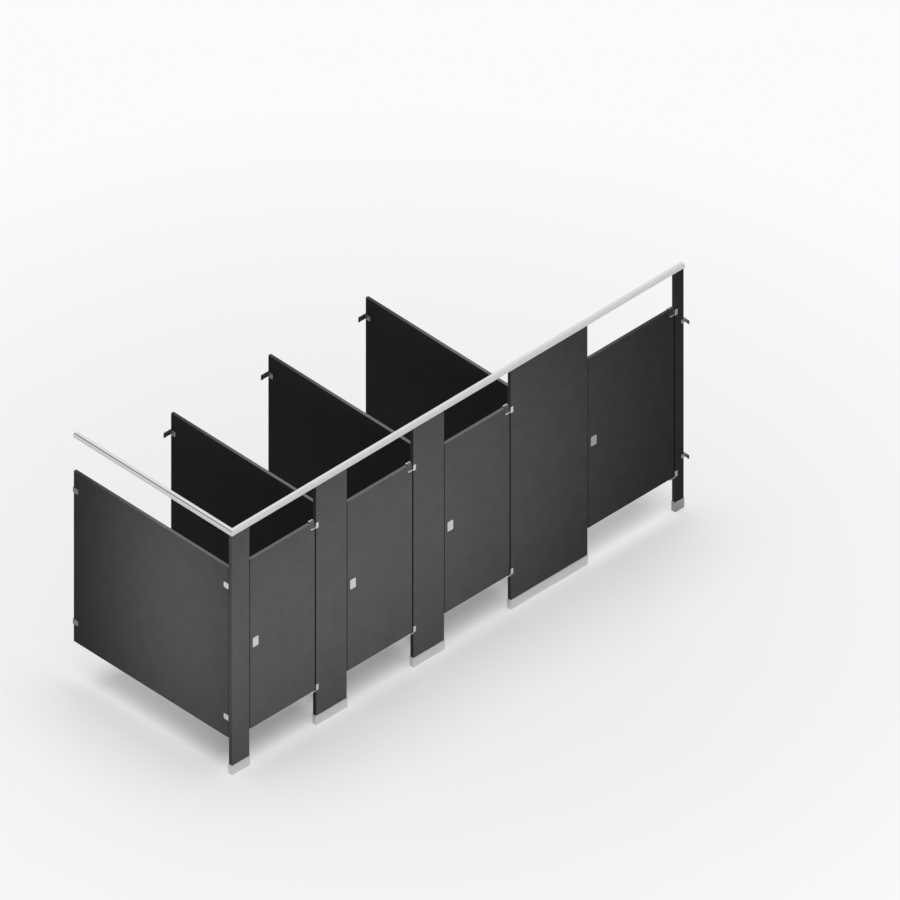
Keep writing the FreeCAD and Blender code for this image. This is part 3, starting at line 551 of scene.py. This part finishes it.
def moulded(name, small, colours, grain):
    """Moulded nylon or rubber with a fine grain and some dirt."""
    finish = Finish(name)
    dirt = finish.noise(small.dirt_size, CLOUD_DETAIL)
    skin = finish.noise(grain, GRAIN_DETAIL)
    finish.drive("Base Color", finish.mixed(finish.spread(dirt, 0.0, 1.0, DIRT), *colours))
    finish.drive("Roughness", finish.spread(dirt, *ROUGHNESS[name]))
    finish.drive("Normal", finish.relief(skin, grain * small.grain_share))
    finish.set(Specular_IOR_Level=SPECULAR[name])
    return finish.material


def paint(thing, material):
    """Give a piece its finish in place of the one it has."""
    if not thing.material_slots:
        thing.data.materials.append(material)
    for slot in thing.material_slots:
        slot.material = material


def paint_slot(slot, material):
    """Give every CAD node of a material slot its finish."""
    for part in frame["record"]["subparts"]:
        if part["material_slot"] == slot:
            paint(frame["nodes"][part["node"]], material)


def finish_of(name):
    """Finish made by an earlier operator."""
    if name not in bpy.data.materials:
        raise RuntimeError(f"the finish {name} isn't made yet")
    return bpy.data.materials[name]


def solid_boxes(node):
    """Lowest and highest corner of each separate solid of a node, whose solids stand well apart."""
    groups = []
    for vertex in frame["nodes"][node].data.vertices:
        for group in groups:
            if (vertex.co - group[0]).length < SOLIDS_APART:
                group.append(vertex.co)
                break
        else:
            groups.append([vertex.co])
    boxes = []
    for group in groups:
        low = Vector([min(point[axis] for point in group) for axis in range(3)])
        high = Vector([max(point[axis] for point in group) for axis in range(3)])
        boxes.append((low, high))
    return boxes


def ring(mesh, radius, height, sides):
    """Points round the axis at one height, on a circle or on a polygon."""
    points = []
    for step in range(SEGMENTS):
        angle = math.tau * step / SEGMENTS
        reach = radius
        if sides != ROUND:
            slice_angle = math.tau / sides
            reach *= math.cos(slice_angle / 2) / math.cos(angle % slice_angle - slice_angle / 2)
        points.append(mesh.verts.new((reach * math.cos(angle), reach * math.sin(angle), height)))
    return points


def turned(rows):
    """Closed mesh through rings that follow each other from one end of the axis to the other."""
    mesh = bmesh.new()
    rings = [ring(mesh, *row) for row in rows]
    for first, second in zip(rings, rings[1:]):
        for step in range(SEGMENTS):
            after = (step + 1) % SEGMENTS
            mesh.faces.new((first[step], first[after], second[after], second[step]))
    mesh.faces.new(list(reversed(rings[0])))
    mesh.faces.new(rings[-1])
    bmesh.ops.recalc_face_normals(mesh, faces=mesh.faces)
    shape = bpy.data.meshes.new("turned")
    mesh.to_mesh(shape)
    mesh.free()
    return shape


def head_rows(radius, rise, base):
    """Rings of a low round head above its seat: rim, dome and a six-sided recess with a centre pin."""
    return [(radius * across, base + rise * up, sides) for across, up, sides in HEAD_RINGS]


def screw_shape(sizes):
    """Head of a screw, pulled a little into its seat."""
    return turned(head_rows(sizes.screw_head, sizes.screw_rise + sizes.screw_sink, -sizes.screw_sink))


def bolt_shape(sizes, length):
    """Barrel bolt between its two seats, with a head outside each."""
    far = head_rows(sizes.bolt_head, sizes.bolt_rise, length)
    near = [(radius, length - height, sides) for radius, height, sides in reversed(far)]
    shank = [(sizes.bolt_shank, 0.0, ROUND), (sizes.bolt_shank, length, ROUND)]
    return turned(near + shank + far)


def gather(name, shapes, body):
    """One piece from meshes set at their seats, each turned to its direction, riding on a body."""
    whole = bmesh.new()
    for shape, seat, direction in shapes:
        start = len(whole.verts)
        whole.from_mesh(shape)
        whole.verts.ensure_lookup_table()
        turn = UP.rotation_difference(direction).to_matrix().to_4x4()
        turn.translation = seat
        bmesh.ops.transform(whole, matrix=turn, verts=whole.verts[start:])
    mesh = bpy.data.meshes.new(name)
    whole.to_mesh(mesh)
    whole.free()
    mesh.polygons.foreach_set("use_smooth", [True] * len(mesh.polygons))
    mesh.set_sharp_from_angle(angle=CREASE)
    piece = bpy.data.objects.new(name, mesh)
    bpy.context.scene.collection.objects.link(piece)
    paint(piece, finish_of("satin_chrome"))
    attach(piece, body)
    return piece


def spread_pair(x, y, z, spread):
    """Two seats above each other."""
    return [Vector((x, y, z - spread)), Vector((x, y, z + spread))]


class PARTITION_OT_boards(bpy.types.Operator):
    """Give the pilasters, doors and panels their laminate"""

    bl_idname = "partition.boards"
    bl_label = "Finish Boards"

    def execute(self, context):
        boards = context.scene.partition_boards
        paint_slot("charcoal_board", laminate("charcoal_laminate", boards))
        gap = [corner.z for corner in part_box("door_1")]
        # Pilasters beside doors take the laminate with painted shade in the gaps
        gap_shaded = laminate("charcoal_laminate_beside_doors", boards, gap)
        for pilaster in PILASTERS[1:]:
            paint(frame["nodes"][pilaster], gap_shaded)
        return {"FINISHED"}


class PARTITION_OT_headrail(bpy.types.Operator):
    """Give the headrail and its inserts their aluminium"""

    bl_idname = "partition.headrail"
    bl_label = "Finish Headrail"

    def execute(self, context):
        metals = context.scene.partition_metals
        colours = (metals.rail_line, metals.rail)
        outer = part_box("headrail_return")[0].x
        groove = (X, outer + metals.groove_start, outer + metals.groove_end)
        # The return run's groove gets painted shade; the front run has none
        for node, axis, dirty in (("headrail_front", X, None), ("headrail_return", Y, groove)):
            metal = lined_metal(f"{node}_aluminium", metals, colours, [axis], dirty)
            paint(frame["nodes"][node], metal)
        insert = lined_metal("mill_aluminium", metals, (metals.insert, metals.rail_line), [X, Y])
        paint_slot("rail_insert_aluminium", insert)
        return {"FINISHED"}


class PARTITION_OT_shoes(bpy.types.Operator):
    """Give the shoes their brushed stainless, with painted shade on the shoe at the side wall"""

    bl_idname = "partition.shoes"
    bl_label = "Finish Shoes"

    def execute(self, context):
        metals = context.scene.partition_metals
        colours = (metals.shoe_line, metals.shoe)
        paint_slot("shoe_steel", lined_metal("brushed_stainless", metals, colours, [X, Y]))
        # The shoe at the side wall gets painted shade
        stained = (metals.wall_shaded_shoe_line, metals.wall_shaded_shoe)
        paint(frame["nodes"][SHOES[-1]], lined_metal("stained_stainless", metals, stained, [X, Y]))
        return {"FINISHED"}


class PARTITION_OT_hardware(bpy.types.Operator):
    """Give the brackets, hinges, latches and floor gear their plating"""

    bl_idname = "partition.hardware"
    bl_label = "Finish Hardware"

    def execute(self, context):
        metals = context.scene.partition_metals
        paint_slot("hardware_chrome", chrome_plate(metals))
        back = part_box("door_1_hinge_block")[1].y
        casting = coated_casting(metals, context.scene.partition_boards.dust_and_top_light, back)
        for door in DOORS:
            paint(frame["nodes"][f"{door}_hinge_block"], casting)
        paint_slot("plated_steel", zinc_plate(metals))
        return {"FINISHED"}


class PARTITION_OT_small_parts(bpy.types.Operator):
    """Give the bushings their nylon and the bumpers their rubber"""

    bl_idname = "partition.small_parts"
    bl_label = "Finish Bushings and Bumpers"

    def execute(self, context):
        small = context.scene.partition_small_parts
        nylon = moulded("natural_nylon", small, (small.nylon, small.nylon_dark), small.nylon_grain)
        rubber = moulded("bumper_rubber", small, (small.rubber, small.rubber_dust), small.rubber_grain)
        paint_slot("bushing_nylon", nylon)
        paint_slot("bumper_rubber", rubber)
        return {"FINISHED"}


class PARTITION_OT_barrel_bolts(bpy.types.Operator):
    """Turn the barrel bolts that clamp the brackets' ears"""

    bl_idname = "partition.barrel_bolts"
    bl_label = "Add Barrel Bolts"

    def execute(self, context):
        sizes = context.scene.partition_fasteners
        shapes = []
        for low, high in solid_boxes("bracket_bolts"):
            span = high - low
            axis = max(range(3), key=lambda way: span[way])
            direction = (RIGHT, BACK, UP)[axis]
            length = span[axis] - 2 * sizes.bolt_rise
            middle = (low + high) / 2
            shapes.append((bolt_shape(sizes, length), middle - direction * (length / 2), direction))
        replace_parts(gather("barrel_bolts", shapes, "frame"), "bracket_bolts")
        return {"FINISHED"}


class PARTITION_OT_frame_screws(bpy.types.Operator):
    """Set the screws of the hinges, brackets, keepers, shoes and headrail"""

    bl_idname = "partition.frame_screws"
    bl_label = "Add Frame Screws"

    def execute(self, context):
        sizes = context.scene.partition_fasteners
        screw = screw_shape(sizes)
        groups = {"hinge_screws": self.hinge_seats(sizes), "bracket_screws": self.bracket_seats(sizes),
                  "keeper_screws": self.keeper_seats(sizes), "shoe_screws": self.shoe_seats(sizes),
                  "headrail_screws": self.rail_seats(sizes)}
        for name, seats in groups.items():
            gather(name, [(screw, seat, direction) for seat, direction in seats], "frame")
        return {"FINISHED"}

    def hinge_seats(self, sizes):
        """Two screws in the front and the back flange of each hinge bracket."""
        seats = []
        for low, high in solid_boxes("hinge_brackets"):
            x = high.x - sizes.hinge_inset
            z = high.z - sizes.hinge_drop
            seats += [(seat, -BACK) for seat in spread_pair(x, low.y, z, sizes.hinge_spread)]
            seats += [(seat, BACK) for seat in spread_pair(x, high.y, z, sizes.hinge_spread)]
        return seats

    def bracket_seats(self, sizes):
        """Two screws in each flange against the back of a pilaster."""
        seats = []
        one_flange = min(high.x - low.x for low, high in solid_boxes("panel_front_brackets"))
        for low, high in solid_boxes("panel_front_brackets"):
            places = [high.x - sizes.flange_inset]
            if high.x - low.x > one_flange + sizes.flange_inset:
                places.append(low.x + sizes.flange_inset)
            for x in places:
                pair = spread_pair(x, low.y + sizes.flange_thickness, (low.z + high.z) / 2, sizes.flange_spread)
                seats += [(seat, BACK) for seat in pair]
        return seats

    def keeper_seats(self, sizes):
        """A screw above and one below each keeper's loop."""
        seats = []
        for low, high in solid_boxes("keepers"):
            pair = spread_pair(low.x + sizes.keeper_inset, low.y + sizes.keeper_thickness, (low.z + high.z) / 2,
                               sizes.keeper_spread)
            seats += [(seat, BACK) for seat in pair]
        return seats

    def shoe_seats(self, sizes):
        """Screws in the back of each shoe, one in a narrow one and two in a wide one."""
        seats = []
        for shoe in SHOES:
            low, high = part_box(shoe)
            places = [low.x + sizes.shoe_inset, high.x - sizes.shoe_inset]
            if places[1] - places[0] < sizes.shoe_inset:
                places = [(low.x + high.x) / 2]
            seats += [(Vector((x, high.y, high.z - sizes.shoe_drop)), BACK) for x in places]
        return seats

    def rail_seats(self, sizes):
        """Screws in the inner face of the headrail: at the wide pilasters, at both walls and at the corner."""
        low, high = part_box("headrail_front")
        z = low.z + sizes.rail_lift
        places = [low.x + sizes.corner_inset, high.x - sizes.socket_inset]
        for pilaster in PILASTERS[1:-1]:
            left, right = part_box(pilaster)
            places += [left.x + sizes.rail_inset, right.x - sizes.rail_inset]
        seats = [(Vector((x, high.y, z)), BACK) for x in places]
        low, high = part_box("headrail_return")
        places = [low.y + sizes.corner_inset, high.y - sizes.socket_inset]
        return seats + [(Vector((high.x, y, z)), RIGHT) for y in places]


class PARTITION_OT_door_screws(bpy.types.Operator):
    """Set the screws of the latch cases and coat hooks on each door"""

    bl_idname = "partition.door_screws"
    bl_label = "Add Door Screws"

    def execute(self, context):
        sizes = context.scene.partition_fasteners
        screw = screw_shape(sizes)
        for door in DOORS:
            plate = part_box(f"{door}_latch_plate")
            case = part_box(f"{door}_latch_case")
            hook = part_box(f"{door}_coat_hook")
            seats = spread_pair(plate[0].x + sizes.post_inset, case[1].y, (case[0].z + case[1].z) / 2,
                                sizes.post_spread)
            seats += spread_pair((hook[0].x + hook[1].x) / 2, hook[0].y + sizes.hook_thickness,
                                 hook[0].z + sizes.hook_middle, sizes.hook_spread)
            gather(f"{door}_screws", [(screw, seat, BACK) for seat in seats], door)
        return {"FINISHED"}


class PARTITION_OT_stage(bpy.types.Operator):
    """Set the pale floor, the soft light and the camera"""

    bl_idname = "partition.stage"
    bl_label = "Set Stage"

    def execute(self, context):
        stage = context.scene.partition_stage
        self.floor(context.scene, stage)
        self.world(context.scene, stage)
        self.lamps(context.scene, stage)
        self.camera(context.scene, stage)
        context.scene.view_settings.view_transform = "Standard"
        return {"FINISHED"}

    def floor(self, scene, stage):
        """Large pale sheet at the partition's feet, with a painted shadow inside the stalls."""
        grid = bmesh.new()
        bmesh.ops.create_grid(grid, x_segments=FLOOR_CELLS, y_segments=FLOOR_CELLS, size=stage.floor_half)
        mesh = bpy.data.meshes.new("floor")
        grid.to_mesh(mesh)
        grid.free()
        floor = bpy.data.objects.new("floor", mesh)
        scene.collection.objects.link(floor)
        finish = Finish("pale_floor")
        path = finish.nodes.new("ShaderNodeLightPath")
        seen = self.shown(finish.nodes, finish.links, path)
        cloud = finish.noise(stage.cloud_size, SOFT_DETAIL)
        shaded = [channel * stage.floor_cloud for channel in stage.floor]
        inside = self.inside(finish, stage)
        # Painted shadow: darker floor colour inside the stalls
        sheet = finish.mixed(inside, finish.mixed(cloud, stage.floor, shaded), stage.floor_shadow)
        finish.drive("Base Color", finish.mixed(seen, stage.floor_unseen, sheet))
        finish.set(Roughness=stage.floor_roughness, Specular_IOR_Level=SPECULAR["pale_floor"])
        self.whiten(finish, path, inside, stage)
        paint(floor, finish.material)
        floor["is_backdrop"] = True

    def shown(self, nodes, links, path):
        """1 for what the camera sees, also by reflection or through glass, 0 for light on its way."""
        total = path.outputs["Is Camera Ray"]
        for ray in ("Is Glossy Ray", "Is Transmission Ray"):
            either = nodes.new("ShaderNodeMath")
            either.operation = "MAXIMUM"
            links.new(total, either.inputs[0])
            links.new(path.outputs[ray], either.inputs[1])
            total = either.outputs["Value"]
        return total

    def inside(self, finish, stage):
        """Mask of the painted shadow: 1 on the floor well inside the stalls, 0 outside them; at the ends it fades out a
        little past the row.
        """
        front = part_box("headrail_front")
        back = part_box("headrail_return")
        spans = ((front[0].x, front[1].x, stage.shadow_x), (front[0].y, back[1].y, stage.shadow_y))
        bands = [finish.band(axis, low + end, high - end, end - start)
                 for axis, (low, high, (start, end)) in enumerate(spans)]
        return finish.product(*bands)

    def whiten(self, finish, path, inside, stage):
        """Add plain white to what the camera sees of the floor, more of it further out and less inside the stalls,
        which leaves a painted shade near the partition and a painted shadow in the stalls.
        """
        reach = finish.nodes.new("ShaderNodeVectorMath")
        reach.operation = "LENGTH"
        finish.links.new(finish.places([1.0] * 3), reach.inputs[0])
        share = finish.spread(reach.outputs["Value"], stage.floor_white, stage.edge_white, stage.white_span)
        share = finish.product(share, finish.spread(inside, 1.0, stage.shadow_white, WHOLE))
        factor = finish.product(path.outputs["Is Camera Ray"], share)
        white = finish.nodes.new("ShaderNodeEmission")
        both = finish.nodes.new("ShaderNodeMixShader")
        finish.links.new(factor, both.inputs[0])
        finish.links.new(finish.shader.outputs["BSDF"], both.inputs[1])
        finish.links.new(white.outputs["Emission"], both.inputs[2])
        finish.links.new(both.outputs["Shader"], finish.nodes["Material Output"].inputs["Surface"])

    def world(self, scene, stage):
        """White room for the camera and for reflections, dim for the rest."""
        world = bpy.data.worlds.new("studio")
        scene.world = world
        world.use_nodes = True
        nodes = world.node_tree.nodes
        links = world.node_tree.links
        seen = self.shown(nodes, links, nodes.new("ShaderNodeLightPath"))
        strength = nodes.new("ShaderNodeMapRange")
        strength.inputs["To Min"].default_value = stage.ambient
        strength.inputs["To Max"].default_value = 1.0
        links.new(seen, strength.inputs["Value"])
        background = nodes["Background"]
        background.inputs["Color"].default_value = (1, 1, 1, 1)
        links.new(strength.outputs["Result"], background.inputs["Strength"])

    def lamps(self, scene, stage):
        """Broad light from above, and four softboxes that light only the partition."""
        above = bpy.data.lights.new("overhead", "SUN")
        above.energy = stage.overhead
        above.angle = stage.overhead_spread
        lamp = bpy.data.objects.new("overhead", above)
        lamp.location = (0, 0, stage.distance)
        lamp.visible_glossy = False
        scene.collection.objects.link(lamp)
        row = [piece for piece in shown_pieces() if not piece.name.startswith("headrail")]
        end = [frame["nodes"][node] for node in ("end_panel", "pilaster_1")]
        no_dividers = [piece for piece in row if not piece.name.startswith("divider")]
        for name, aim, pieces in (("front", BACK, row), ("side", RIGHT, end), ("back", -RIGHT - BACK, row),
                                  ("rear", -BACK, no_dividers)):
            light = bpy.data.lights.new(f"{name}_softbox", "AREA")
            light.shape = "RECTANGLE"
            light.energy = getattr(stage, name)
            light.size = getattr(stage, f"{name}_width")
            light.size_y = stage.softbox_height
            light.spread = getattr(stage, f"{name}_spread")
            lit = bpy.data.collections.new(f"{name}_softbox_pieces")
            for piece in pieces:
                lit.objects.link(piece)
            box = bpy.data.objects.new(f"{name}_softbox", light)
            box.location = getattr(stage, f"{name}_place")
            box.rotation_mode = "QUATERNION"
            box.rotation_quaternion = aim.to_track_quat("-Z", "Y")
            box.visible_camera = False
            box.visible_glossy = False
            box.light_linking.receiver_collection = lit
            scene.collection.objects.link(box)

    def camera(self, scene, stage):
        """Parallel view from the front left, looking down."""
        lens = bpy.data.cameras.new("camera")
        lens.type = "ORTHO"
        lens.ortho_scale = stage.picture_width
        lens.clip_end = stage.camera_reach
        camera = bpy.data.objects.new("camera", lens)
        level = math.cos(stage.elevation)
        away = Vector((math.sin(stage.azimuth) * level, -math.cos(stage.azimuth) * level, math.sin(stage.elevation)))
        camera.location = Vector(stage.target) + away * stage.distance
        camera.rotation_mode = "QUATERNION"
        camera.rotation_quaternion = (-away).to_track_quat("-Z", "Y")
        scene.collection.objects.link(camera)
        scene.camera = camera


GROUPS = {
    "partition_boards": PARTITION_PG_boards,
    "partition_metals": PARTITION_PG_metals,
    "partition_small_parts": PARTITION_PG_small_parts,
    "partition_fasteners": PARTITION_PG_fasteners,
    "partition_stage": PARTITION_PG_stage,
}
OPERATORS = (
    PARTITION_OT_boards,
    PARTITION_OT_headrail,
    PARTITION_OT_shoes,
    PARTITION_OT_hardware,
    PARTITION_OT_small_parts,
    PARTITION_OT_barrel_bolts,
    PARTITION_OT_frame_screws,
    PARTITION_OT_door_screws,
    PARTITION_OT_stage,
)


class PARTITION_PT_sidebar(bpy.types.Panel):
    """Steps and sizes of the toilet partition"""

    bl_idname = "PARTITION_PT_sidebar"
    bl_label = "Toilet Partition"
    bl_space_type = "VIEW_3D"
    bl_region_type = "UI"
    bl_category = "Partition"

    def draw(self, context):
        """Buttons of the steps, then each group of sizes and colours."""
        for operator in OPERATORS:
            self.layout.operator(operator.bl_idname)
        for name, group in GROUPS.items():
            box = self.layout.box()
            box.label(text=group.__doc__)
            for key in group.__annotations__:
                box.prop(getattr(context.scene, name), key)


CLASSES = (*GROUPS.values(), *OPERATORS, PARTITION_PT_sidebar)


def register():
    """Make the classes and the scene's groups known to Blender."""
    for cls in CLASSES:
        bpy.utils.register_class(cls)
    for name, group in GROUPS.items():
        setattr(bpy.types.Scene, name, PointerProperty(type=group))


def unregister():
    """Take them out again."""
    for name in GROUPS:
        delattr(bpy.types.Scene, name)
    for cls in reversed(CLASSES):
        bpy.utils.unregister_class(cls)


def main():
    """Dress the partition and set the stage."""
    register()
    bpy.ops.partition.boards()
    bpy.ops.partition.headrail()
    bpy.ops.partition.shoes()
    bpy.ops.partition.hardware()
    bpy.ops.partition.small_parts()
    bpy.ops.partition.barrel_bolts()
    bpy.ops.partition.frame_screws()
    bpy.ops.partition.door_screws()
    bpy.ops.partition.stage()


if __name__ == "__main__":
    main()
